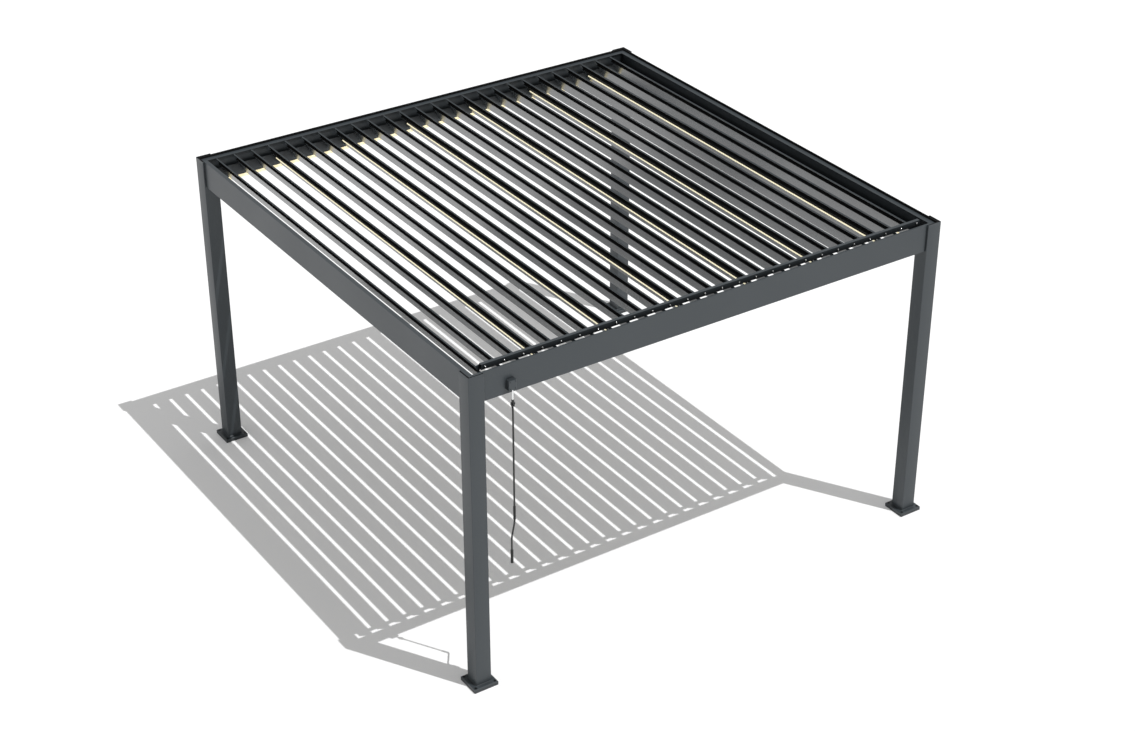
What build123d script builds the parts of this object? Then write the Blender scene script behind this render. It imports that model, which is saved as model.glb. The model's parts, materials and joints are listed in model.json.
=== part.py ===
from build123d import *
from math import cos, floor, radians, sin
import os

os.makedirs("parts", exist_ok=True)

# A free-standing roof of tilting louvers on four posts, in millimetres.
# The origin is on the ground in the middle of the footprint and +Z is up.
# The front, with the control bar and the crank, faces -Y, and the louvers run along Y.

# Footprint and height
overall_x = 4000
overall_y = 4000
beam_top = 2503

# Posts
post_size = 120
post_wall = 3
post_corner_radius = 4

# Foot plates with countersunk anchor holes
foot_margin = 35
foot_thickness = 30
foot_chamfer = 3
anchor_hole_radius = 6.5
anchor_head_radius = 11
anchor_head_depth = 9

# Caps, each with a set-back rim that leaves a shadow line
cap_thickness = 5
cap_gap = 4
cap_rim_inset = 6
cap_plug_depth = 12
cap_plug_clearance = 0.3

# Beams: a box with a lip standing outside, a flange reaching inwards and a rain gutter below it
beam_height = 215
beam_recess = 16
beam_wall = 3
beam_depth = 40
beam_lip = 20
flange_overhang = 9
front_flange_overhang = 4
gutter_depth = 30
side_gutter_height = 94
pivot_wall_above = 15

# Light strips in a rebate along the lower inner edge of each gutter
strip_depth = 14
strip_height = 24
strip_proud_inward = 1
strip_proud_down = 4

# Louvers: the blade's own axes are u, towards its low edge, and n, its upper normal
louver_pitch = 146.5
end_room = 75
rest_tilt = 60
pivot_drop = 113.5
high_reach = 115
lip_width = 45
nose_height = 10
body_height = 20
skin = 2.2
edge_thickness = 2.5
hook_height = 6.5
neighbour_gap = 5.8
tongue_gap = 13.5
end_plate = 5
end_gap = 7

# Pivots, which turn in the gutters' inner walls at front and back
pivot_radius = 6
pivot_clearance = 0.1
pivot_reach = 7

# Levers and the control bar that links them
lever_across = 91
lever_up = 50
lever_eye_radius = 11
lever_pin_radius = 5
lever_pin_clearance = 0.3
lever_pin_proud = 3
lever_gap = 6
bar_setback = 34.5
bar_depth = 25
bar_height = 40
bar_wall = 2.5
bar_overhang = 28
bar_end_room = 8.5

# Light strips under every fourth louver
louvers_per_light = 4
light_width = 12
light_thickness = 1.5
light_inset = 42
light_end_margin = 52

# Gearbox on the front beam
gearbox_from_side = 322
gearbox_width = 60
gearbox_depth = 36
gearbox_height = 72
gearbox_above_beam_bottom = 35
gearbox_radius = 6
gearbox_bore_depth = 20

# Crank: a shaft with an eye, and a rod hooked into it
crank_standoff = 24
crank_offset = 4
shaft_radius = 5.5
shaft_clearance = 0.1
shaft_length = 80
shaft_seat = 14
socket_radius = 9.5
socket_length = 22
eye_radius = 16.5
eye_hole_radius = 7
eye_thickness = 8
rod_radius = 6.3
hook_clearance = 0.1
hook_bend_radius = 8
hook_tip_length = 13
hook_leg_length = 17
hook_return = 18
arm_x = -81
arm_y = -90
arm_height = 1288
arm_drop = 46
arm_bend_radius = 25
handle_length = 203
grip_radius = 12
grip_length = 104
grip_clearance = 0.1
upper_grip_lift = 21

# Places worked out from these sizes
half_x = overall_x / 2
half_y = overall_y / 2
beam_bottom = beam_top - beam_height
beam_inner = beam_recess + beam_depth
gutter_inner = beam_inner + gutter_depth
corners = {
    "front_left": (-1, -1),
    "front_right": (1, -1),
    "back_left": (-1, 1),
    "back_right": (1, 1),
}
pivot_height = beam_top - pivot_drop
bar_front = -half_y + beam_inner + bar_setback
bar_back = bar_front + bar_depth
lip_front = bar_back + lever_gap
louver_front = -half_y + gutter_inner + end_gap
louver_back = half_y - gutter_inner - end_gap
first_pivot = -half_x + beam_inner + bar_end_room + bar_overhang + lever_across
louver_count = floor((half_x - beam_inner - end_room - first_pivot) / louver_pitch) + 1
pivots = [first_pivot + i * louver_pitch for i in range(louver_count)]


def save(piece, name):
    """Label a finished piece and write it as a STEP file of the same name."""
    piece.part.label = name
    export_step(piece.part, f"parts/{name}.step")


def rectangle(left, right, low, high, mode=Mode.ADD):
    """Draw a rectangle between two sides and two heights."""
    with Locations(((left + right) / 2, (low + high) / 2)):
        Rectangle(right - left, high - low, mode=mode)


def post_centre(side_x, side_y):
    return (side_x * (half_x - post_size / 2), side_y * (half_y - post_size / 2))


# Posts, which narrow to an L beside the beams so that the linkage can pass their inner corner
def post_top_outline(side_x, side_y):
    """The L outline: a square less the quarter that lies inside both beams."""
    notch = post_size - beam_inner
    with Locations(post_centre(side_x, side_y)):
        RectangleRounded(post_size, post_size, post_corner_radius)
    with Locations((side_x * (half_x - post_size + notch / 2), side_y * (half_y - post_size + notch / 2))):
        Rectangle(notch, notch, mode=Mode.SUBTRACT)


def make_post(name, side_x, side_y):
    with BuildPart() as post:
        with BuildSketch(Plane.XY.offset(foot_thickness)):
            with Locations(post_centre(side_x, side_y)):
                RectangleRounded(post_size, post_size, post_corner_radius)
                Rectangle(post_size - 2 * post_wall, post_size - 2 * post_wall, mode=Mode.SUBTRACT)
        extrude(amount=beam_bottom - post_wall - foot_thickness)
        with BuildSketch(Plane.XY.offset(beam_bottom - post_wall)):
            with Locations(post_centre(side_x, side_y)):
                RectangleRounded(post_size, post_size, post_corner_radius)
        extrude(amount=post_wall)
        with BuildSketch(Plane.XY.offset(beam_bottom)):
            post_top_outline(side_x, side_y)
            offset(amount=-post_wall, mode=Mode.SUBTRACT)
        extrude(amount=beam_height)
    save(post, f"post_{name}")


for corner, sides in corners.items():
    make_post(corner, *sides)

# Foot plates, welded under the posts
foot_size = post_size + 2 * foot_margin
anchor_spacing = post_size + foot_margin
with BuildPart() as foot_plates:
    with BuildSketch():
        with Locations([post_centre(*sides) for sides in corners.values()]):
            Rectangle(foot_size, foot_size)
    extrude(amount=foot_thickness)
    chamfer(foot_plates.faces().filter_by(Axis.Z).group_by(Axis.Z)[-1].edges(), foot_chamfer)
    for sides in corners.values():
        with Locations((*post_centre(*sides), foot_thickness)):
            with GridLocations(anchor_spacing, anchor_spacing, 2, 2):
                CounterBoreHole(anchor_hole_radius, anchor_head_radius, anchor_head_depth, foot_thickness)
save(foot_plates, "foot_plates")

# Caps, plugged into the posts' open tops
cap_layers = (
    (beam_top - cap_plug_depth, cap_plug_depth, post_wall + cap_plug_clearance),
    (beam_top, cap_gap, cap_rim_inset),
    (beam_top + cap_gap, cap_thickness, 0),
)
with BuildPart() as corner_caps:
    for side_x, side_y in corners.values():
        for level, thickness, inset in cap_layers:
            with BuildSketch(Plane.XY.offset(level)):
                post_top_outline(side_x, side_y)
                if inset:
                    offset(amount=-inset, mode=Mode.REPLACE)
            extrude(amount=thickness)
save(corner_caps, "corner_caps")


# Beams, each drawn on a plane at its start whose x points inwards from the posts' outer face
def side_plane(side):
    left = -half_x + post_size
    front = -half_y + post_size
    planes = {
        "front": Plane(origin=(left, -half_y, 0), x_dir=(0, 1, 0), z_dir=(1, 0, 0)),
        "back": Plane(origin=(-left, half_y, 0), x_dir=(0, -1, 0), z_dir=(-1, 0, 0)),
        "left": Plane(origin=(-half_x, -front, 0), x_dir=(1, 0, 0), z_dir=(0, -1, 0)),
        "right": Plane(origin=(half_x, front, 0), x_dir=(-1, 0, 0), z_dir=(0, 1, 0)),
    }
    return planes[side]


def side_length(side):
    overall = overall_x if side in ("front", "back") else overall_y
    return overall - 2 * post_size


def beam_section(wall_top, overhang):
    """A hollow box with its lip and flange, and an open gutter with the light-strip rebate."""
    flange_top = beam_top - beam_lip
    box_inner = beam_inner - beam_wall
    wall_outer = gutter_inner - beam_wall
    rebate_side = gutter_inner + strip_proud_inward - strip_depth
    rebate_top = beam_bottom - strip_proud_down + strip_height
    Polygon(
        (beam_recess, beam_bottom),
        (rebate_side, beam_bottom),
        (rebate_side, rebate_top),
        (gutter_inner, rebate_top),
        (gutter_inner, wall_top),
        (wall_outer, wall_top),
        (wall_outer, rebate_top + beam_wall),
        (rebate_side - beam_wall, rebate_top + beam_wall),
        (rebate_side - beam_wall, beam_bottom + beam_wall),
        (beam_inner, beam_bottom + beam_wall),
        (beam_inner, flange_top - beam_wall),
        (beam_inner + overhang, flange_top - beam_wall),
        (beam_inner + overhang, flange_top),
        (beam_recess + beam_wall, flange_top),
        (beam_recess + beam_wall, beam_top),
        (beam_recess, beam_top),
        align=None,
    )
    rectangle(
        beam_recess + beam_wall,
        box_inner,
        beam_bottom + beam_wall,
        flange_top - beam_wall,
        Mode.SUBTRACT,
    )


def make_side_beam(side):
    with BuildPart() as beam:
        with BuildSketch(side_plane(side)):
            beam_section(beam_bottom + side_gutter_height, flange_overhang)
        extrude(amount=side_length(side))
    save(beam, f"beam_{side}")


# The front and back gutters have taller inner walls, which carry the louvers' pivots
def make_end_beam(side, overhang, wall_face, inwards):
    with BuildPart() as beam:
        with BuildSketch(side_plane(side)):
            beam_section(pivot_height + pivot_wall_above, overhang)
        extrude(amount=side_length(side))
        with BuildSketch(Plane(origin=(0, wall_face, 0), x_dir=(1, 0, 0), z_dir=(0, -1, 0))):
            with Locations([(pivot, pivot_height) for pivot in pivots]):
                Circle(pivot_radius + pivot_clearance)
        extrude(amount=inwards * beam_wall, mode=Mode.SUBTRACT)
    save(beam, f"beam_{side}")


make_side_beam("left")
make_side_beam("right")
make_end_beam("front", front_flange_overhang, -half_y + gutter_inner, 1)
make_end_beam("back", flange_overhang, half_y - gutter_inner, -1)

# Light strips in the beams' rebates
with BuildPart() as perimeter_light:
    for side in ("front", "back", "left", "right"):
        with BuildSketch(side_plane(side)):
            rectangle(
                gutter_inner + strip_proud_inward - strip_depth,
                gutter_inner + strip_proud_inward,
                beam_bottom - strip_proud_down,
                beam_bottom - strip_proud_down + strip_height,
            )
        extrude(amount=side_length(side))
save(perimeter_light, "perimeter_light")

# Louvers, as they stand at rest: a hollow blade with an overlapping lip on its high edge,
# a drip tongue on its low edge, end plates, pivot pins, and a lever with the pin for the bar.
# The lip stops behind the control bar and the body runs on under it to the front pivot.
tilt = radians(rest_tilt)
body_start = lip_width - high_reach
body_end = louver_pitch - high_reach - neighbour_gap
tongue_end = body_start + louver_pitch - tongue_gap
blade_top = body_height / 2
blade_bottom = -blade_top
lever_pin = (-lever_across, lever_up)


def blade_plane(pivot, y):
    """A plane across the blade at y, with x along u and y along n, facing the front."""
    return Plane(origin=(pivot, y, pivot_height), x_dir=(cos(tilt), 0, -sin(tilt)), z_dir=(0, -1, 0))


def body_outline():
    """The outline of the body with its tongue."""
    rectangle(body_start, body_end, blade_bottom, blade_top)
    rectangle(body_end, tongue_end, blade_bottom, blade_bottom + hook_height)


def open_body():
    """The hollow of the body and the open side of the tongue."""
    rectangle(body_start + skin, body_end - skin, blade_bottom + skin, blade_top - skin, Mode.SUBTRACT)
    hook_top = blade_bottom + hook_height
    rectangle(body_end, tongue_end - edge_thickness, blade_bottom + edge_thickness, hook_top, Mode.SUBTRACT)


def lip_outline():
    """The outline of the lip on the high edge."""
    rectangle(-high_reach, body_start, blade_top - nose_height, blade_top)


def open_lip():
    """The recess under the lip."""
    recess_end = edge_thickness - high_reach
    rectangle(recess_end, body_start, blade_top - nose_height, blade_top - edge_thickness, Mode.SUBTRACT)


def lever_outline():
    """The lever: the hull of the eye round its pin and its root along the lip."""
    with Locations(lever_pin):
        Circle(lever_eye_radius)
    rectangle(-high_reach, body_start, blade_top - edge_thickness, blade_top)
    make_hull()


def make_louver(number, pivot):
    with BuildPart() as louver:
        with BuildSketch(blade_plane(pivot, louver_back - end_plate)):
            body_outline()
            open_body()
        extrude(amount=louver_back - louver_front - 2 * end_plate)
        with BuildSketch(blade_plane(pivot, louver_back - end_plate)):
            lip_outline()
            open_lip()
        extrude(amount=louver_back - lip_front - 2 * end_plate)
        with BuildSketch(blade_plane(pivot, louver_back)):
            body_outline()
            lip_outline()
        extrude(amount=end_plate)
        with BuildSketch(blade_plane(pivot, louver_front + end_plate)):
            body_outline()
        extrude(amount=end_plate)
        with BuildSketch(blade_plane(pivot, lip_front + end_plate)):
            lip_outline()
        extrude(amount=end_plate)
        with BuildSketch(blade_plane(pivot, lip_front + end_plate)):
            lever_outline()
        extrude(amount=end_plate)
        with BuildSketch(blade_plane(pivot, louver_front)):
            Circle(pivot_radius)
        extrude(amount=end_gap + beam_wall + pivot_reach)
        with BuildSketch(blade_plane(pivot, louver_back)):
            Circle(pivot_radius)
        extrude(amount=-(end_gap + beam_wall + pivot_reach))
        with BuildSketch(blade_plane(pivot, lip_front)):
            with Locations(lever_pin):
                Circle(lever_pin_radius)
        extrude(amount=lever_gap + bar_depth + lever_pin_proud)
    save(louver, f"louver_{number:02d}")


def make_louver_light(number, pivot):
    start = body_start + light_inset
    with BuildPart() as light:
        with BuildSketch(blade_plane(pivot, louver_back - light_end_margin)):
            rectangle(start, start + light_width, blade_bottom - light_thickness, blade_bottom)
        extrude(amount=louver_back - louver_front - 2 * light_end_margin)
    save(light, f"louver_light_{number:02d}")


for number, pivot in enumerate(pivots, start=1):
    make_louver(number, pivot)
    if number % louvers_per_light == 0:
        make_louver_light(number, pivot)

# Control bar: a tube along the front with a hole through it at each lever's pin
pin_offset_x = -lever_across * cos(tilt) + lever_up * sin(tilt)
pin_height = pivot_height + lever_across * sin(tilt) + lever_up * cos(tilt)
bar_start = pivots[0] + pin_offset_x - bar_overhang
bar_end = pivots[-1] + pin_offset_x + bar_overhang
with BuildPart() as control_bar:
    with BuildSketch(Plane(origin=(bar_start, bar_front, pin_height), x_dir=(0, 1, 0), z_dir=(1, 0, 0))):
        rectangle(0, bar_depth, -bar_height / 2, bar_height / 2)
        inside = bar_height / 2 - bar_wall
        rectangle(bar_wall, bar_depth - bar_wall, -inside, inside, Mode.SUBTRACT)
    extrude(amount=bar_end - bar_start)
    with BuildSketch(Plane(origin=(0, bar_back, pin_height), x_dir=(1, 0, 0), z_dir=(0, -1, 0))):
        with Locations([(pivot + pin_offset_x, 0) for pivot in pivots]):
            Circle(lever_pin_radius + lever_pin_clearance)
    extrude(amount=bar_depth, mode=Mode.SUBTRACT)
save(control_bar, "control_bar")

# Gearbox, a closed housing with a bore for the crank's shaft
gearbox_x = -half_x + gearbox_from_side
crank_x = gearbox_x + crank_offset
crank_y = -half_y + beam_recess - crank_standoff
gearbox_bottom = beam_bottom + gearbox_above_beam_bottom
with BuildPart() as gearbox:
    with BuildSketch(Plane.XY.offset(gearbox_bottom)):
        with Locations((gearbox_x, -half_y + beam_recess - gearbox_depth / 2)):
            Rectangle(gearbox_width, gearbox_depth)
    extrude(amount=gearbox_height)
    fillet(gearbox.edges().filter_by(Axis.Z).group_by(Axis.Y)[0], gearbox_radius)
    with BuildSketch(Plane.XY.offset(gearbox_bottom)):
        with Locations((crank_x, crank_y)):
            Circle(shaft_radius + shaft_clearance)
    extrude(amount=gearbox_bore_depth, mode=Mode.SUBTRACT)
save(gearbox, "gearbox")

# Crank shaft, from inside the gearbox down into the eye's socket
shaft_bottom = gearbox_bottom - shaft_length
with BuildPart() as crank_shaft:
    with BuildSketch(Plane.XY.offset(shaft_bottom - shaft_seat)):
        with Locations((crank_x, crank_y)):
            Circle(shaft_radius)
    extrude(amount=shaft_seat + shaft_length + gearbox_bore_depth - shaft_clearance)
save(crank_shaft, "crank_shaft")

# Eye under the shaft: a socket and a ring that stands across the front
eye_centre = shaft_bottom - socket_length - eye_hole_radius
with BuildPart() as crank_eye:
    with BuildSketch(Plane(origin=(crank_x, crank_y, eye_centre), x_dir=(1, 0, 0), z_dir=(0, -1, 0))):
        Circle(eye_radius)
    extrude(amount=eye_thickness / 2, both=True)
    with BuildSketch(Plane.XY.offset(shaft_bottom)):
        with Locations((crank_x, crank_y)):
            Circle(socket_radius)
    extrude(amount=-socket_length)
    with BuildSketch(Plane.XY.offset(shaft_bottom)):
        with Locations((crank_x, crank_y)):
            Circle(shaft_radius)
    extrude(amount=-shaft_seat, mode=Mode.SUBTRACT)
    with BuildSketch(Plane(origin=(crank_x, crank_y, eye_centre), x_dir=(1, 0, 0), z_dir=(0, -1, 0))):
        Circle(eye_hole_radius)
    extrude(amount=socket_radius, both=True, mode=Mode.SUBTRACT)
save(crank_eye, "crank_eye")

# Crank rod: a hook through the eye, a straight rod, and an arm offset to the handle
hook_side = eye_thickness / 2 + hook_clearance + hook_bend_radius
hook_height_z = eye_centre - eye_hole_radius + rod_radius + hook_clearance
hook_leg_bottom = hook_height_z - hook_leg_length
handle_x = crank_x + arm_x
handle_y = crank_y + arm_y
handle_top = arm_height - arm_drop
handle_bottom = handle_top - handle_length
with BuildPart() as crank_rod:
    with BuildLine() as rod_path:
        FilletPolyline(
            (crank_x, crank_y - hook_side, hook_height_z - hook_tip_length),
            (crank_x, crank_y - hook_side, hook_height_z),
            (crank_x, crank_y + hook_side, hook_height_z),
            (crank_x, crank_y + hook_side, hook_leg_bottom),
            (crank_x, crank_y, hook_leg_bottom - hook_return),
            (crank_x, crank_y, arm_height),
            (handle_x, handle_y, handle_top),
            (handle_x, handle_y, handle_bottom),
            radius=(
                hook_bend_radius,
                hook_bend_radius,
                hook_bend_radius,
                hook_bend_radius,
                arm_bend_radius,
                arm_bend_radius,
            ),
        )
    with BuildSketch(Plane(origin=rod_path.line @ 0, z_dir=rod_path.line % 0)):
        Circle(rod_radius)
    sweep()
save(crank_rod, "crank_rod")

# Grips on the straight rod above the arm and on the handle below it
upper_grip_bottom = arm_height + upper_grip_lift
with BuildPart() as crank_grips:
    for x, y, bottom in ((crank_x, crank_y, upper_grip_bottom), (handle_x, handle_y, handle_bottom)):
        with BuildSketch(Plane.XY.offset(bottom)):
            with Locations((x, y)):
                Circle(grip_radius)
                Circle(rod_radius + grip_clearance, mode=Mode.SUBTRACT)
        extrude(amount=grip_length)
save(crank_grips, "crank_grips")
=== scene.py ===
import json
from math import cos, pi, radians, sin

import bmesh
import bpy
from mathutils import Matrix, Vector


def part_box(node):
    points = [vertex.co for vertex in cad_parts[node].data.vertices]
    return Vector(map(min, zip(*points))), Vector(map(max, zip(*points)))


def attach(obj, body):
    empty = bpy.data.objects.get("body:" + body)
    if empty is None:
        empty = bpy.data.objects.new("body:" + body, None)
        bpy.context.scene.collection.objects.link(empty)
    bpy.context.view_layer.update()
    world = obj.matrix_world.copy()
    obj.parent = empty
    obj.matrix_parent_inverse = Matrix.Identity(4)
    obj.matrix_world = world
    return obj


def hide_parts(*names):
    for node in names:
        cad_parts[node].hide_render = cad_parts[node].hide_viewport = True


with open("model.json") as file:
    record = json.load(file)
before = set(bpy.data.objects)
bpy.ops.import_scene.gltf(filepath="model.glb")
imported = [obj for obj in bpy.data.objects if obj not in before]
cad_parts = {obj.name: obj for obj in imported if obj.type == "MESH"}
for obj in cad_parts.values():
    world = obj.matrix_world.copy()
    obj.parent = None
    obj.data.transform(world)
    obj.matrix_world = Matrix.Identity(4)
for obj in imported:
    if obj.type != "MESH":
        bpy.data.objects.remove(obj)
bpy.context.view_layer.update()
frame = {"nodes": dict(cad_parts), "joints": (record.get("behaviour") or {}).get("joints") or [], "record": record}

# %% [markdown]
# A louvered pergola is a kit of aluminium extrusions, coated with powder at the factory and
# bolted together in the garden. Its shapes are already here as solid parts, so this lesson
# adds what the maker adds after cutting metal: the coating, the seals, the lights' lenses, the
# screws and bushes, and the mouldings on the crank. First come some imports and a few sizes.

MM = 0.001
nodes = frame["nodes"]
joints = {joint["name"]: joint for joint in frame["joints"]}
louvers = sorted(name for name in nodes if name.startswith("louver_") and "light" not in name)
louver_lights = sorted(name for name in nodes if name.startswith("louver_light_"))
print(len(louvers), "louvers,", len(louver_lights), "of them with a light strip")

# %% [markdown]
# The photograph was taken from high up at the front left corner with a long lens, so the
# upright posts stay nearly parallel. A camera could be placed by eye, but here its place and
# angles were worked out from the object's straight edges, so that all of them fit at once. The
# optical axis falls a little under the middle of the frame, which a small shift copies.

# %% Camera
PHOTO_WIDTH, PHOTO_HEIGHT = 1135, 732
FOCAL_PIXELS = 2155.5
AXIS_ROW = 371.5
CAMERA_PLACE = (-7.978, -12.112, 9.487)
CAMERA_YAW, CAMERA_PITCH, CAMERA_ROLL = 33.665, 30.572, -0.048

camera_data = bpy.data.cameras.new("photo_camera")
camera_data.sensor_fit = "HORIZONTAL"
camera_data.sensor_width = 36
camera_data.lens = FOCAL_PIXELS / PHOTO_WIDTH * camera_data.sensor_width
camera_data.shift_y = (AXIS_ROW - PHOTO_HEIGHT / 2) / PHOTO_WIDTH
camera_data.clip_end = 200
camera = bpy.data.objects.new("photo_camera", camera_data)
bpy.context.collection.objects.link(camera)
turn = Matrix.Rotation(radians(-CAMERA_YAW), 4, "Z")
tilt = Matrix.Rotation(radians(90 - CAMERA_PITCH), 4, "X")
roll = Matrix.Rotation(radians(CAMERA_ROLL), 4, "Z")
camera.matrix_world = Matrix.Translation(CAMERA_PLACE) @ turn @ tilt @ roll
bpy.context.scene.camera = camera
print("lens", round(camera_data.lens, 2), "mm at", CAMERA_PLACE)

# %% [markdown]
# Shader colours are linear light, while a colour given here is an sRGB hex value, so one
# function turns the second into the first. Nodes could be made and linked line by line, but a
# function that adds a node, sets its values and links its inputs keeps each material short.

# %% Helpers for colours and nodes
def linear(hex_colour):
    """The linear RGBA of an sRGB hex colour."""
    channels = [int(hex_colour[i:i + 2], 16) / 255 for i in (1, 3, 5)]
    return (*[c / 12.92 if c <= 0.04045 else ((c + 0.055) / 1.055) ** 2.4 for c in channels], 1)


def add(tree, kind, values=None, links=None, **settings):
    """Add a node, set its properties and input values, and link its inputs."""
    node = tree.nodes.new(kind)
    for name, value in settings.items():
        setattr(node, name, value)
    for name, value in (values or {}).items():
        node.inputs[name].default_value = value
    for name, output in (links or {}).items():
        tree.links.new(output, node.inputs[name])
    return node


def new_material(name):
    """An empty node material."""
    material = bpy.data.materials.new(name)
    material.use_nodes = True
    material.node_tree.nodes.clear()
    return material


def finish_material(material, shader):
    """Connect a shader to the material's output."""
    add(material.node_tree, "ShaderNodeOutputMaterial", links={"Surface": shader.outputs[0]})
    print("material", material.name)
    return material


# %% [markdown]
# Powder coat is polyester paint baked onto the metal: it is a dielectric, so it isn't
# metallic, and its satin skin has a fine orange peel. A photographed texture could show that,
# but noise in the object's own coordinates needs no unwrapping and has no seams. The real
# grain is about 0.4 mm, too fine to show from here, so a ripple of 3 mm stands for it, and a
# slow drift in roughness keeps long faces from looking like paper. The thin louvers come out a
# little glossier than the thick posts and beams, and the crank is nearly black. Where little
# open air reaches, as in the gutters, the frame's coat is darkened towards black as painted
# shade: the ambient occlusion node tells how closed in a place is.

# %% Powder coats
SATIN, SEMI_MATT = (0.22, 0.3), (0.36, 0.46)
RIPPLE, RIPPLE_DEPTH = 3 * MM, 0.2 * MM
SLOW_DRIFT, QUICK_DRIFT = 600 * MM, 200 * MM
# Painted shade: within this reach, a place with little open air is darkened, fully at the first level of open air
# and not at all at the second.
SHADE_REACH = 150 * MM
FULL_SHADE_AO, NO_SHADE_AO = 0.25, 0.75


def powder_coat(name, colour, shade, skin, drift, painted_shade=0):
    """Powder coat with orange peel, a drift in tone and gloss, and painted shade in narrow gaps."""
    material = new_material(name)
    tree = material.node_tree
    place = add(tree, "ShaderNodeTexCoord").outputs["Object"]
    cloud = add(tree, "ShaderNodeTexNoise", {"Scale": 1 / drift, "Detail": 3}, {"Vector": place})
    tone = add(tree, "ShaderNodeMix", {6: linear(colour), 7: linear(shade)},
               {0: cloud.outputs["Fac"]}, data_type="RGBA")
    # Painted shade: the less open air the ambient occlusion finds, the more the coat is mixed towards this near
    # black.
    open_air = add(tree, "ShaderNodeAmbientOcclusion", {"Distance": SHADE_REACH}, samples=8)
    shade_amount = add(tree, "ShaderNodeMapRange",
               {"From Min": FULL_SHADE_AO, "From Max": NO_SHADE_AO, "To Min": painted_shade, "To Max": 0},
               {"Value": open_air.outputs["AO"]})
    shaded_tone = add(tree, "ShaderNodeMix", {7: linear("#060707")},
                 {0: shade_amount.outputs["Result"], 6: tone.outputs[2]}, data_type="RGBA")
    gloss = add(tree, "ShaderNodeMapRange", {"To Min": skin[0], "To Max": skin[1]},
                {"Value": cloud.outputs["Fac"]})
    peel = add(tree, "ShaderNodeTexNoise", {"Scale": 1 / RIPPLE, "Detail": 2}, {"Vector": place})
    bump = add(tree, "ShaderNodeBump", {"Strength": 0.12, "Distance": RIPPLE_DEPTH},
               {"Height": peel.outputs["Fac"]})
    shader = add(tree, "ShaderNodeBsdfPrincipled", {"IOR": 1.5},
                 {"Base Color": shaded_tone.outputs[2], "Roughness": gloss.outputs["Result"],
                  "Normal": bump.outputs["Normal"]})
    return finish_material(material, shader)


# Only the frame's coat carries the painted shade in its gutters and corners.
anthracite_coat = powder_coat("anthracite_powder_coat", "#3f4549", "#3b4145", SEMI_MATT,
                              SLOW_DRIFT, painted_shade=0.9)
louver_coat = powder_coat("anthracite_satin_coat", "#3d4347", "#393f43", SATIN, SLOW_DRIFT)
crank_coat = powder_coat("dark_powder_coat", "#1a1c1d", "#17191a", SEMI_MATT, QUICK_DRIFT)

# %% [markdown]
# The diffusers are opal polycarbonate in front of warm white LED tape. From here the tape is
# a soft cream line, a little brighter over each diode, which sit 16.7 mm apart. Rows of small
# lamps behind the lens would glow like that too, but by day such light reaches nothing around
# it, so an emission with a gentle wave is enough. The louvers' lenses are brighter than the
# strips along the beams.

# %% Lit opal diffusers
DIODE_PITCH = 16.7 * MM
WAVES_PER_METRE_AT_ONE = 20 / (2 * pi)


def lit_diffuser(name, along, colour, dim, bright):
    """Opal polycarbonate lit from behind by LED tape that runs along one axis."""
    material = new_material(name)
    tree = material.node_tree
    place = add(tree, "ShaderNodeTexCoord").outputs["Object"]
    diodes = add(tree, "ShaderNodeTexWave",
                 {"Scale": 1 / DIODE_PITCH / WAVES_PER_METRE_AT_ONE, "Distortion": 0},
                 {"Vector": place}, wave_type="BANDS", bands_direction=along, wave_profile="SIN")
    glow = add(tree, "ShaderNodeMapRange", {"To Min": dim, "To Max": bright},
               {"Value": diodes.outputs["Fac"]})
    shader = add(tree, "ShaderNodeBsdfPrincipled",
                 {"Base Color": linear("#efe6c4"), "Roughness": 0.5, "IOR": 1.58,
                  "Emission Color": linear(colour)},
                 {"Emission Strength": glow.outputs["Result"]})
    return finish_material(material, shader)


diffuser = lit_diffuser("lit_opal_polycarbonate", "Y", "#f6e6b8", 0.55, 0.75)
bright_lens = lit_diffuser("lit_opal_lens", "Y", "#f6edca", 0.85, 1.0)

# %% [markdown]
# The crank's shaft and the small screws are steel with bright zinc plating. That is bare
# metal, so it is metallic, and small clouds in its roughness make it a little milky. The grips
# are moulded polyamide with a fine leather-like grain, which a bump gives without geometry.

# %% Zinc plate and moulded polyamide
ZINC_CLOUDS = 6 * MM
MOULD_GRAIN, GRAIN_DEPTH = 1.5 * MM, 0.1 * MM


def zinc_plate(name):
    """Bright zinc-plated steel whose gloss varies in small clouds."""
    material = new_material(name)
    tree = material.node_tree
    place = add(tree, "ShaderNodeTexCoord").outputs["Object"]
    milk = add(tree, "ShaderNodeTexNoise", {"Scale": 1 / ZINC_CLOUDS, "Detail": 4},
               {"Vector": place})
    gloss = add(tree, "ShaderNodeMapRange", {"To Min": 0.16, "To Max": 0.3},
                {"Value": milk.outputs["Fac"]})
    shader = add(tree, "ShaderNodeBsdfPrincipled", {"Base Color": linear("#f2f3f3"), "Metallic": 1},
                 {"Roughness": gloss.outputs["Result"]})
    return finish_material(material, shader)


def moulded_polyamide(name, colour):
    """Black polyamide with a spark-eroded grain from its mould."""
    material = new_material(name)
    tree = material.node_tree
    place = add(tree, "ShaderNodeTexCoord").outputs["Object"]
    grain = add(tree, "ShaderNodeTexVoronoi", {"Scale": 1 / MOULD_GRAIN}, {"Vector": place})
    bump = add(tree, "ShaderNodeBump", {"Strength": 0.2, "Distance": GRAIN_DEPTH},
               {"Height": grain.outputs["Distance"]})
    shader = add(tree, "ShaderNodeBsdfPrincipled",
                 {"Base Color": linear(colour), "Roughness": 0.55, "IOR": 1.53},
                 {"Normal": bump.outputs["Normal"]})
    return finish_material(material, shader)


zinc = zinc_plate("bright_zinc_plate")
grip_polyamide = moulded_polyamide("black_moulded_polyamide", "#121313")

# %% [markdown]
# The seals are extruded EPDM rubber: carbon black makes it nearly black, and its skin is matt
# with a faint bloom. It has no clear highlight, so it reads as a black line. Roughness alone
# would leave a grey sheen at flat angles, so the specular level is turned down as well.

# %% Extruded rubber
BLOOM_CLOUDS = 40 * MM


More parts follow.
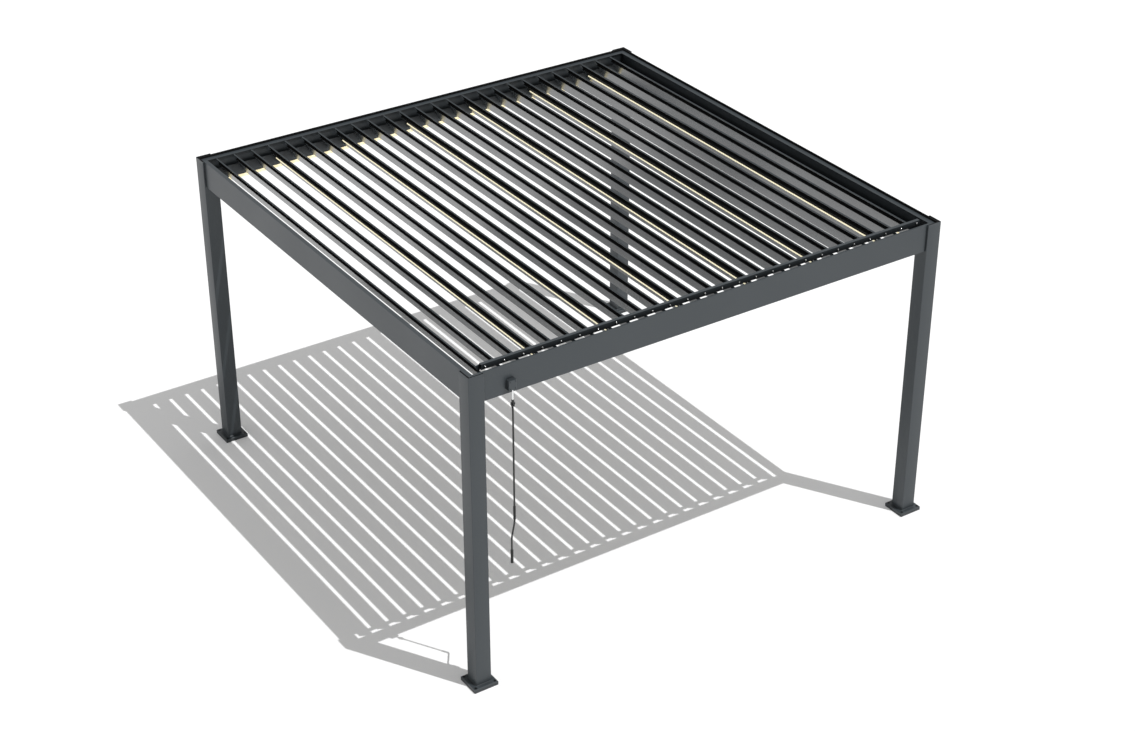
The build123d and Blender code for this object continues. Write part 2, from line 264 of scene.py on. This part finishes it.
def extruded_rubber(name):
    """Carbon-black EPDM with a faint bloom from its mix."""
    material = new_material(name)
    tree = material.node_tree
    place = add(tree, "ShaderNodeTexCoord").outputs["Object"]
    bloom = add(tree, "ShaderNodeTexNoise", {"Scale": 1 / BLOOM_CLOUDS, "Detail": 3},
                {"Vector": place})
    tone = add(tree, "ShaderNodeMix", {6: linear("#0e0e0f"), 7: linear("#141516")},
               {0: bloom.outputs["Fac"]}, data_type="RGBA")
    shader = add(tree, "ShaderNodeBsdfPrincipled",
                 {"Roughness": 0.8, "IOR": 1.5, "Specular IOR Level": 0.2},
                 {"Base Color": tone.outputs[2]})
    return finish_material(material, shader)


black_rubber = extruded_rubber("black_epdm_rubber")

# %% [markdown]
# Every solid part that came with the frame takes the finish of its record's material slot. The
# parts could be painted one by one, but a table from slot to finish can't forget any of them.

# %% Finishes on the solid parts
FINISHES = {
    "aluminium_frame": anthracite_coat,
    "aluminium_louver": louver_coat,
    "coated_casting": anthracite_coat,
    "light_diffuser": diffuser,
    "zinc_shaft": zinc,
    "coated_steel": crank_coat,
    "grip_plastic": grip_polyamide,
}
for part in frame["record"]["subparts"]:
    slots = nodes[part["node"]].data.materials
    slots.clear()
    slots.append(FINISHES[part["material_slot"]])
print("finished", len(nodes), "parts")

# %% [markdown]
# The small pieces are drawn in mesh code. Most of them are prisms over an outline or shapes
# turned on a lathe, so two functions give the points and faces of those, and a third joins
# any number of shapes into one object, rounds its edges and lets it ride on a moving body.
# Modifiers such as Screw or Array could build them too, but plain points are easy to check.

# %% Helpers for pieces
MERGE = 0.001 * MM
SHARP = radians(30)


def prism(outline, low, high):
    """Points and faces of a closed prism over an outline in x and y."""
    count = len(outline)
    points = [Vector((x, y, z)) for z in (low, high) for x, y in outline]
    faces = [tuple(reversed(range(count))), tuple(range(count, 2 * count))]
    faces += [(i, (i + 1) % count, count + (i + 1) % count, count + i) for i in range(count)]
    return points, faces


def lathe(profile, segments=24, hexed=()):
    """Points and faces of a (radius, height) loop turned about z, hexed points on a hexagon."""
    count = len(profile)
    points = []
    for k in range(segments):
        angle = 2 * pi * k / segments
        flat = 1 / cos((angle + pi / 6) % (pi / 3) - pi / 6)
        for i, (radius, height) in enumerate(profile):
            reach = radius * flat if i in hexed else radius
            points.append(Vector((reach * cos(angle), reach * sin(angle), height)))
    faces = [(k * count + i, (k + 1) % segments * count + i,
              (k + 1) % segments * count + (i + 1) % count, k * count + (i + 1) % count)
             for k in range(segments) for i in range(count)]
    return points, faces


def placed(shape, matrix):
    """A shape moved by a matrix."""
    points, faces = shape
    return [matrix @ point for point in points], faces


def make_piece(name, shapes, material, body, bevel=0):
    """Join shapes into one object with a material, rounded edges and a body to ride on."""
    form = bmesh.new()
    for points, faces in shapes:
        corners = [form.verts.new(point) for point in points]
        for face in faces:
            form.faces.new([corners[i] for i in face])
    bmesh.ops.remove_doubles(form, verts=form.verts, dist=MERGE)
    bmesh.ops.dissolve_degenerate(form, edges=form.edges, dist=MERGE)
    bmesh.ops.recalc_face_normals(form, faces=form.faces)
    mesh = bpy.data.meshes.new(name)
    form.to_mesh(mesh)
    form.free()
    mesh.materials.append(material)
    mesh.shade_smooth()
    mesh.set_sharp_from_angle(angle=SHARP)
    piece = bpy.data.objects.new(name, mesh)
    bpy.context.collection.objects.link(piece)
    if bevel:
        rounding = piece.modifiers.new("rounding", "BEVEL")
        rounding.width = bevel
        rounding.segments = 2
        rounding.limit_method = "ANGLE"
    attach(piece, body)
    return piece


def facing_front(x, y, z):
    """A place whose own z axis points to the front, for screws and rings on upright faces."""
    return Matrix.Translation((x, y, z)) @ Matrix.Rotation(pi / 2, 4, "X")


print("helpers for prisms, turned shapes and pieces")

# %% [markdown]
# Each post is a square tube that narrows to an L beside the beams. At the very top only its
# two outer walls stand up, 20 mm above the flange, and a black moulded cap fills the slot
# behind them, a little lower than the walls. The beams' flanges meet over the post in a mitre.

# %% Sizes of the post tops
HALF = 2.0
POST = 120 * MM
WALL = 3 * MM
POST_ROUNDING = 4 * MM
FOOT_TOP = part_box("foot_plates")[1].z
ROOF_TOP = 2503 * MM
FLANGE_TOP = 2483 * MM
BEAM_BOTTOM = 2288 * MM
LIP_INNER = 19 * MM
BEAM_INNER = 56 * MM
FLANGE_INNER = 65 * MM
FRONT_FLANGE_INNER = 60 * MM
CAP_SUNK = 5 * MM
CORNERS = {"front_left": (-1, -1), "front_right": (1, -1),
           "back_left": (-1, 1), "back_right": (1, 1)}


def corner_points(sides, points):
    """Points given inwards from the post's two outer faces, turned into the frame's x and y."""
    return [(sides[0] * (HALF - across), sides[1] * (HALF - along)) for across, along in points]


def arc(middle, start, radius=POST_ROUNDING, steps=4):
    """A quarter of a circle in steps, anticlockwise from an angle in degrees."""
    angles = [radians(start + 90 * step / steps) for step in range(steps + 1)]
    return [(middle[0] + radius * cos(a), middle[1] + radius * sin(a)) for a in angles]


near, far = POST_ROUNDING, POST - POST_ROUNDING


def post_outline(out=0):
    """The square tube's outline, or one that runs this far outside it."""
    radius = POST_ROUNDING + out
    return (arc((near, near), 180, radius) + arc((far, near), 270, radius)
            + arc((far, far), 0, radius) + arc((near, far), 90, radius))


l_tube = (arc((near, near), 180) + arc((far, near), 270)
          + [(POST, BEAM_INNER), (BEAM_INNER, BEAM_INNER), (BEAM_INNER, POST)]
          + arc((near, far), 90))
outer_walls = (arc((near, near), 180) + [(POST, 0), (POST, LIP_INNER), (POST - WALL, LIP_INNER),
               (POST - WALL, WALL), (WALL, WALL), (WALL, POST - WALL), (LIP_INNER, POST - WALL),
               (LIP_INNER, POST), (0, POST)])
print("post", POST, "m square, L-shaped above", BEAM_BOTTOM)

# %% [markdown]
# A real post is one extrusion with its top sawn away. It could be cut here with a boolean, but
# three prisms on top of each other give the same form with clean faces: the square tube, the L
# beside the beams, and the two thin walls. They take the place of the solid post.

# %% Posts
levels = ((post_outline(), FOOT_TOP, BEAM_BOTTOM), (l_tube, BEAM_BOTTOM, FLANGE_TOP - WALL),
          (outer_walls, FLANGE_TOP - WALL, ROOF_TOP))
for corner, sides in CORNERS.items():
    shapes = [prism(corner_points(sides, outline), low, high) for outline, low, high in levels]
    post = make_piece(f"post_tube_{corner}", shapes, anthracite_coat, "frame")
    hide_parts(f"post_{corner}")
print("four posts with sunk tops")

# %% [markdown]
# The caps are moulded and pressed into the slots. One prism per corner is enough, and a small
# bevel gives the rounded edge that a mould leaves and that catches the light.

# %% Caps in the post tops
CAP_EDGE = 0.8 * MM
cap_outline = [(WALL, WALL), (POST - WALL, WALL), (POST - WALL, LIP_INNER), (LIP_INNER, LIP_INNER),
               (LIP_INNER, POST - WALL), (WALL, POST - WALL)]
caps = make_piece("moulded_corner_caps",
                  [prism(corner_points(sides, cap_outline), FLANGE_TOP - WALL, ROOF_TOP - CAP_SUNK)
                   for sides in CORNERS.values()],
                  black_rubber, "frame", bevel=CAP_EDGE)
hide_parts("corner_caps")
print("four caps,", round(CAP_SUNK / MM), "mm below the post walls")

# %% [markdown]
# The beams' flanges are cut as a mitre, and a hairline stays open where they meet over the
# post. That line could be painted, but two flat prisms with a real gap between them look right
# from every side.

# %% Mitred flange corners
MITRE_GAP = 0.3 * MM
flange_shapes = []
for sides in CORNERS.values():
    reach = FRONT_FLANGE_INNER if sides[1] < 0 else FLANGE_INNER
    halves = (
        [(LIP_INNER + MITRE_GAP, LIP_INNER), (POST, LIP_INNER), (POST, reach),
         (FLANGE_INNER + MITRE_GAP, reach)],
        [(LIP_INNER, LIP_INNER + MITRE_GAP), (FLANGE_INNER, reach + MITRE_GAP),
         (FLANGE_INNER, POST), (LIP_INNER, POST)],
    )
    flange_shapes += [prism(corner_points(sides, half), FLANGE_TOP - WALL, FLANGE_TOP)
                      for half in halves]
make_piece("mitred_flange_corners", flange_shapes, anthracite_coat, "frame")
print(len(flange_shapes), "flange ends")

# %% [markdown]
# A rubber strip lines the inner face of the beams' standing lips, so from above the roof's far
# edges end in a black line. It is a plain extrusion: one section, drawn out along one beam and
# turned by quarters for the others.

# %% Rubber along the beams' lips
LINING = ((LIP_INNER, FLANGE_TOP), (LIP_INNER + 1.4 * MM, FLANGE_TOP),
          (LIP_INNER + 1.2 * MM, ROOF_TOP - 3 * MM), (LIP_INNER + 0.4 * MM, ROOF_TOP - 1 * MM),
          (LIP_INNER, ROOF_TOP - 1 * MM))
lining_shapes = []
for quarter in range(4):
    points, faces = prism(LINING, -(HALF - POST), HALF - POST)
    upright = [Vector((x - HALF, z, y)) for x, y, z in points]
    lining_shapes.append(placed((upright, faces), Matrix.Rotation(quarter * pi / 2, 4, "Z")))
make_piece("beam_lip_lining", lining_shapes, black_rubber, "frame")
print("lining along four beams")

# %% [markdown]
# Everything on a louver is easy to draw flat, along the blade and across it, and awkward in the
# tilted place where it hangs. So each louver gets a place of its own: a matrix that takes a
# shape drawn flat to the blade.

# %% Places on the louvers
TILT = radians(60)
BODY_START = -70 * MM
LIP_END = -112.5 * MM
BLADE_HALF = 10 * MM
LIP_FRONT, LOUVER_BACK, LOUVER_FRONT, END_PLATE = -1878.5 * MM, 1907 * MM, -1907 * MM, 5 * MM


def blade_place(louver):
    """The louver's own place: x towards its low edge, y along its upper normal, z to the front."""
    x, _, z = joints[f"{louver}_tilt"]["pos_m"]
    columns = ((cos(TILT), 0, -sin(TILT)), (sin(TILT), 0, cos(TILT)), (0, -1, 0))
    return Matrix.Translation((x, 0, z)) @ Matrix(columns).transposed().to_4x4()


print("first blade at", [round(v, 4) for v in blade_place(louvers[0]).translation])

# %% [markdown]
# A second strip of rubber lies in the recess under each louver's lip, where the next louver's
# tongue lands when the roof closes. Its near-black is also painted shade, deepening the
# shade of the recess it lines. Its section is drawn out once, and each louver gets its own
# copy of the shape, so that the strip turns with the louver.

# %% Rubber and painted shade in the louvers' recesses
SEAL, END_GAP = 1.4 * MM, 0.2 * MM
SEAL_LOW, SEAL_TOP = -9.4 * MM, 7.4 * MM
seal_and_shade_outline = [(BODY_START, SEAL_LOW), (BODY_START, SEAL_TOP), (LIP_END + END_GAP, SEAL_TOP),
                (LIP_END + END_GAP, SEAL_TOP - SEAL), (BODY_START - SEAL, SEAL_TOP - SEAL),
                (BODY_START - SEAL, SEAL_LOW + 0.6 * MM), (BODY_START - 0.6 * MM, SEAL_LOW)]
seal_and_shade_shape = prism(seal_and_shade_outline, -(LOUVER_BACK - END_PLATE - END_GAP),
                   -(LIP_FRONT + END_PLATE + END_GAP))
# Each strip is a real seal whose near-black also paints the recess's shade.
for louver in louvers:
    make_piece(f"recess_seal_and_shade_{louver[-2:]}", [placed(seal_and_shade_shape, blade_place(louver))],
               black_rubber, louver)
print(len(louvers), "recess seals")

# %% [markdown]
# The control bar is held on each louver's lever pin by a button-head screw in the pin's end,
# over a plastic washer. From afar the heads are a row of bright dots. A socket could be cut
# into each head, but points of its turned profile that lie on a hexagon give the same. The
# screw turns with its louver, and the washer stays on the bar. The pin stands 3 mm out of the
# bar, so the head starts there.

# %% Screw heads and washers along the bar
BAR_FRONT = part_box("control_bar")[0].y
PIN_X, PIN_Z = -2.2 * MM, 103.8 * MM
PIN_PROUD = 3 * MM
head_profile = [(0, 0), (5.9 * MM, 0), (6.2 * MM, 0.4 * MM), (5.7 * MM, 1.9 * MM),
                (4.4 * MM, 3.1 * MM), (2.9 * MM, 3.6 * MM), (2.1 * MM, 3.6 * MM),
                (2.1 * MM, 1.6 * MM), (0, 1.2 * MM)]
head_shape = lathe(head_profile, hexed=(6, 7))
washer_profile = [(5.3 * MM, 0), (8.8 * MM, 0), (9 * MM, 0.3 * MM), (8.7 * MM, 2.2 * MM),
                  (5.3 * MM, 2.2 * MM)]
washer_shapes = []
for louver in louvers:
    x, _, z = joints[f"{louver}_tilt"]["pos_m"]
    washer_place = facing_front(x + PIN_X, BAR_FRONT, z + PIN_Z)
    head_place = facing_front(x + PIN_X, BAR_FRONT - PIN_PROUD, z + PIN_Z)
    washer_shapes.append(placed(lathe(washer_profile), washer_place))
    make_piece(f"lever_screw_{louver[-2:]}", [placed(head_shape, head_place)], zinc, louver)
make_piece("lever_washers", washer_shapes, grip_polyamide, "control_bar")
print(len(louvers), "screw heads and washers")

# %% [markdown]
# At both ends the louvers turn in plastic bushes, pressed into the gutters' inner walls. Only
# their flanges show, one on each side of a wall, so a thin turned ring stands for each flange.

# %% Bushes in the gutters' inner walls
WALL_FRONT, WALL_BACK = -1914 * MM, 1914 * MM
bush_profile = [(6.15 * MM, 0), (9.5 * MM, 0), (9.8 * MM, 0.4 * MM), (9.4 * MM, 1.8 * MM),
                (6.15 * MM, 1.8 * MM)]
bush_shapes = []
for louver in louvers:
    x, _, z = joints[f"{louver}_tilt"]["pos_m"]
    for wall, outwards in ((WALL_FRONT, -1), (WALL_BACK, 1)):
        for face, side in ((wall, -outwards), (wall + outwards * WALL, outwards)):
            towards = Matrix.Rotation(-side * pi / 2, 4, "X")
            place = Matrix.Translation((x, face, z)) @ towards
            bush_shapes.append(placed(lathe(bush_profile, 20), place))
make_piece("pivot_bushes", bush_shapes, grip_polyamide, "frame")
print(len(bush_shapes), "bush flanges")

# %% [markdown]
# Four socket-head anchor screws hold each foot, on washers in the plate's countersinks, all
# coated dark. What is in the ground can't be seen, so only the heads and washers are made.

# %% Anchor screws
SEAT = FOOT_TOP - 9 * MM
ANCHOR_OUT, ANCHOR_IN = 17.5 * MM, 137.5 * MM
anchor_washer = [(6.4 * MM, 0), (10.4 * MM, 0), (10.6 * MM, 0.4 * MM), (10.4 * MM, 1.6 * MM),
                 (6.4 * MM, 1.6 * MM)]
anchor_head = [(0, 1.6 * MM), (9 * MM, 1.6 * MM), (9 * MM, 7.6 * MM), (8.3 * MM, 8.4 * MM),
               (5 * MM, 8.4 * MM), (5 * MM, 4 * MM), (0, 3.4 * MM)]
anchor_shapes = []
for sides in CORNERS.values():
    spots = [(a, b) for a in (-ANCHOR_OUT, ANCHOR_IN) for b in (-ANCHOR_OUT, ANCHOR_IN)]
    for x, y in corner_points(sides, spots):
        place = Matrix.Translation((x, y, SEAT))
        anchor_shapes += [placed(lathe(anchor_washer), place),
                          placed(lathe(anchor_head, hexed=(4, 5)), place)]
make_piece("anchor_screws", anchor_shapes, crank_coat, "frame")
print(len(anchor_shapes) // 2, "anchor screws")

# %% [markdown]
# A fillet weld runs round the post where it meets the foot plate. Its ripples vanish under the
# coat, so a plain bead does: a small section carried round the tube's outline, ring by ring.
# Its root lies 1 mm inside the tube, so that no gap can show.

# %% Weld beads
BEAD, ROOT = 3 * MM, -1 * MM
bead_section = ((ROOT, 0), (BEAD, 0), (0.45 * BEAD, 0.5 * BEAD), (0, BEAD), (ROOT, BEAD))
bead_shapes = []
for sides in CORNERS.values():
    points = [Vector((x, y, FOOT_TOP + height)) for out, height in bead_section
              for x, y in corner_points(sides, post_outline(out))]
    rings, count = len(bead_section), len(post_outline())
    faces = [(a * count + i, a * count + (i + 1) % count,
              (a + 1) % rings * count + (i + 1) % count, (a + 1) % rings * count + i)
             for a in range(rings) for i in range(count)]
    bead_shapes.append((points, faces))
make_piece("weld_beads", bead_shapes, anthracite_coat, "frame")
print(len(bead_shapes), "weld beads")

# %% [markdown]
# The gearbox is a closed casting with four cover screws and a rubber shaft seal, and a pin
# through the eye's socket and the shaft holds the crank. All of these are round, so turned
# shapes serve again, and only the pin rides on the crank.

# %% Gearbox screws, shaft seal and cross pin
gear_low, gear_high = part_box("gearbox")
shaft_low, shaft_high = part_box("crank_shaft")
shaft_x, shaft_y = (shaft_low.x + shaft_high.x) / 2, (shaft_low.y + shaft_high.y) / 2
screw_profile = [(0, 0), (3.4 * MM, 0), (3.3 * MM, 1.2 * MM), (2.4 * MM, 2 * MM),
                 (1.5 * MM, 2.1 * MM), (1.5 * MM, 0.9 * MM), (0, 0.8 * MM)]
screw_shape = lathe(screw_profile, hexed=(4, 5))
INSET = 10 * MM
spots = [(x, z) for x in (gear_low.x + INSET, gear_high.x - INSET)
         for z in (gear_low.z + INSET, gear_high.z - INSET)]
make_piece("gearbox_screws",
           [placed(screw_shape, facing_front(x, gear_low.y, z)) for x, z in spots],
           crank_coat, "frame")
seal_profile = [(5.8 * MM, 0), (9.6 * MM, 0), (9.2 * MM, -1.6 * MM), (7.4 * MM, -3 * MM),
                (5.8 * MM, -3 * MM)]
seal_place = Matrix.Translation((shaft_x, shaft_y, gear_low.z))
make_piece("shaft_seal", [placed(lathe(seal_profile), seal_place)], black_rubber, "frame")
PIN_REACH = 10.6 * MM
pin_profile = [(0, -PIN_REACH), (2 * MM, -PIN_REACH), (2.5 * MM, -PIN_REACH + 0.5 * MM),
               (2.5 * MM, PIN_REACH - 0.5 * MM), (2 * MM, PIN_REACH), (0, PIN_REACH)]
PIN_HEIGHT = shaft_low.z + 7 * MM
across = Matrix.Translation((shaft_x, shaft_y, PIN_HEIGHT)) @ Matrix.Rotation(pi / 2, 4, "Y")
make_piece("socket_pin", [placed(lathe(pin_profile, 16), across)], zinc, "crank")
print("gearbox screws, shaft seal and socket pin")

# %% [markdown]
# The two grips are moulded with ribs, so that a hand can turn them while the rod spins inside.
# The ribs could be an array of rings, but as part of one turned profile they have no seams,
# and both grips share it. They take the place of the plain grips.

# %% Ribbed grips
grip_low, grip_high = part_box("crank_grips")
ARM = Vector((-81 * MM, -90 * MM, 0))
GRIP_LENGTH, BORE = 104 * MM, 6.4 * MM
UPPER_RADIUS, LOWER_RADIUS = 9.2 * MM, 10 * MM
RIBS, RIB_DEPTH = 11, 0.8 * MM
HANDLE_BOTTOM, UPPER_BOTTOM = grip_low.z, grip_high.z - GRIP_LENGTH


def grip_profile(radius):
    """Half a grip's section: a bored sleeve with collars at its ends and ribs between them."""
    collar = 8 * MM
    pitch = (GRIP_LENGTH - 2 * collar) / RIBS
    outside = [(radius - 2 * MM, 0), (radius - 0.4 * MM, 0.8 * MM), (radius, 2.4 * MM)]
    outside.append((radius, collar - MM))
    groove, crest = radius - RIB_DEPTH, radius - 0.1 * MM
    for rib in range(RIBS):
        start = collar + rib * pitch
        outside += [(groove, start), (groove, start + 0.35 * pitch),
                    (crest, start + 0.5 * pitch), (crest, start + 0.85 * pitch)]
    outside += [(radius, GRIP_LENGTH - collar + MM), (radius, GRIP_LENGTH - 2.4 * MM),
                (radius - 0.4 * MM, GRIP_LENGTH - 0.8 * MM), (radius - 2 * MM, GRIP_LENGTH)]
    return outside + [(BORE, GRIP_LENGTH), (BORE, 0)]


grip_places = ((UPPER_RADIUS, (shaft_x, shaft_y, UPPER_BOTTOM)),
               (LOWER_RADIUS, (shaft_x + ARM.x, shaft_y + ARM.y, HANDLE_BOTTOM)))
grip_shapes = [placed(lathe(grip_profile(radius), 32), Matrix.Translation(place))
               for radius, place in grip_places]
grips = make_piece("ribbed_grips", grip_shapes, grip_polyamide, "crank")
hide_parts("crank_grips")
print("two grips with", RIBS, "ribs each")

# %% [markdown]
# The light strips on the louvers have a raised opal lens, so that they shine sideways too. Above
# it a matt black strip is painted shade: it darkens the blade beside the lens and takes away
# its sheen there. Both are extrusions along the blade, so each is a prism over its section,
# and the lens takes the place of the flat strip.

# %% Raised lenses and painted shade strips
LIGHT_START, LIGHT_WIDTH, LIGHT_THICK = -28 * MM, 12 * MM, 7 * MM
LIGHT_STOP, LENS_FACE = LIGHT_START + LIGHT_WIDTH, -BLADE_HALF - LIGHT_THICK
LIGHT_END = 52 * MM
LENS_CORNER = 2 * MM
SHADE_STRIP_START, SHADE_STRIP_THICK = BODY_START + 0.5 * MM, 1.2 * MM
lens_section = [(LIGHT_START, -BLADE_HALF), (LIGHT_START, LENS_FACE + LENS_CORNER),
                (LIGHT_START + LENS_CORNER, LENS_FACE), (LIGHT_STOP - LENS_CORNER, LENS_FACE),
                (LIGHT_STOP, LENS_FACE + LENS_CORNER), (LIGHT_STOP, -BLADE_HALF)]
shade_strip_section = [(SHADE_STRIP_START, -BLADE_HALF), (SHADE_STRIP_START, -BLADE_HALF - SHADE_STRIP_THICK),
                 (LIGHT_START, -BLADE_HALF - SHADE_STRIP_THICK), (LIGHT_START, -BLADE_HALF)]
lights_low, lights_high = -(LOUVER_BACK - LIGHT_END), -(LOUVER_FRONT + LIGHT_END)
lens_shape = prism(lens_section, lights_low, lights_high)
shade_strip_shape = prism(shade_strip_section, lights_low, lights_high)
for light in louver_lights:
    number = light[-2:]
    louver = f"louver_{number}"
    lens = make_piece(f"opal_lens_{number}", [placed(lens_shape, blade_place(louver))],
                      bright_lens, louver)
    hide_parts(light)
    # The black strip beside each lens is painted shade.
    make_piece(f"lens_shade_strip_{number}", [placed(shade_strip_shape, blade_place(louver))],
               black_rubber, louver)
print(len(louver_lights), "lenses and cable covers")

# %% [markdown]
# A moulded cap closes each end of the strips, where the tape's solder joints are hidden. It is
# a short prism over the lens, half a millimetre larger all round, as a cap has to be that is
# slipped over it.

# %% End caps on the light strips
CAP_LENGTH, CAP_OVERHANG, CAP_LIP = 14 * MM, 1 * MM, 0.5 * MM
cap_section = [(LIGHT_START - CAP_LIP, -BLADE_HALF), (LIGHT_START - CAP_LIP, LENS_FACE),
               (LIGHT_START, LENS_FACE - CAP_LIP), (LIGHT_STOP, LENS_FACE - CAP_LIP),
               (LIGHT_STOP + CAP_LIP, LENS_FACE), (LIGHT_STOP + CAP_LIP, -BLADE_HALF)]
ends = ((lights_low - CAP_OVERHANG, lights_low + CAP_LENGTH),
        (lights_high - CAP_LENGTH, lights_high + CAP_OVERHANG))
for light in louver_lights:
    louver = f"louver_{light[-2:]}"
    make_piece(f"light_end_caps_{light[-2:]}",
               [placed(prism(cap_section, low, high), blade_place(louver)) for low, high in ends],
               grip_polyamide, louver)
print(len(louver_lights), "pairs of end caps")

# %% [markdown]
# The studio is a pale floor with no edge in view, one hard lamp high at the front right that
# throws the striped shadow, and a soft sky. The sky could be an environment image, but an even
# white keeps the tones easy to match. A faint veil of light, for the camera alone, lifts the
# floor to white and its shadow to a mid grey, and adds no light to the object.

# %% Floor, sun and sky
FLOOR_SIZE = 120
FLOOR_VEIL = 0.095
floor_mesh = bpy.data.meshes.new("floor")
half = FLOOR_SIZE / 2
floor_mesh.from_pydata([(-half, -half, 0), (half, -half, 0), (half, half, 0), (-half, half, 0)], [],
                       [(0, 1, 2, 3)])
floor = bpy.data.objects.new("floor", floor_mesh)
bpy.context.collection.objects.link(floor)
floor_paint = new_material("floor_paint")
floor_tree = floor_paint.node_tree
matt = add(floor_tree, "ShaderNodeBsdfDiffuse", {"Color": linear("#f2f2f2")})
veil = add(floor_tree, "ShaderNodeEmission", {"Color": linear("#ffffff"), "Strength": FLOOR_VEIL})
seen = add(floor_tree, "ShaderNodeAddShader", {}, {0: matt.outputs[0], 1: veil.outputs[0]})
floor_rays = add(floor_tree, "ShaderNodeLightPath")
floor_shader = add(floor_tree, "ShaderNodeMixShader", {},
                   {0: floor_rays.outputs["Is Camera Ray"], 1: matt.outputs[0], 2: seen.outputs[0]})
floor_mesh.materials.append(finish_material(floor_paint, floor_shader))

SHADOW_PER_METRE = Vector((-0.2143, 0.3625, -1))
SUN_POWER, SUN_SPREAD = 2.42, radians(0.3)
SKY_POWER = 0.46
sun_data = bpy.data.lights.new("sun", "SUN")
sun_data.energy = SUN_POWER
sun_data.angle = SUN_SPREAD
sun = bpy.data.objects.new("sun", sun_data)
sun.rotation_mode = "QUATERNION"
sun.rotation_quaternion = SHADOW_PER_METRE.to_track_quat("-Z", "Y")
bpy.context.collection.objects.link(sun)

world = bpy.data.worlds.new("soft_sky")
bpy.context.scene.world = world
world.use_nodes = True
sky = world.node_tree
sky.nodes.clear()
rays = add(sky, "ShaderNodeLightPath")
soft = add(sky, "ShaderNodeBackground", {"Color": linear("#ffffff"), "Strength": SKY_POWER})
white = add(sky, "ShaderNodeBackground", {"Color": linear("#ffffff"), "Strength": 1.0})
shown = add(sky, "ShaderNodeMixShader", {},
            {0: rays.outputs["Is Camera Ray"], 1: soft.outputs[0], 2: white.outputs[0]})
add(sky, "ShaderNodeOutputWorld", links={"Surface": shown.outputs[0]})
bpy.context.scene.view_settings.view_transform = "Standard"
print("sun over the front right, shadow", tuple(SHADOW_PER_METRE), "per metre of height")
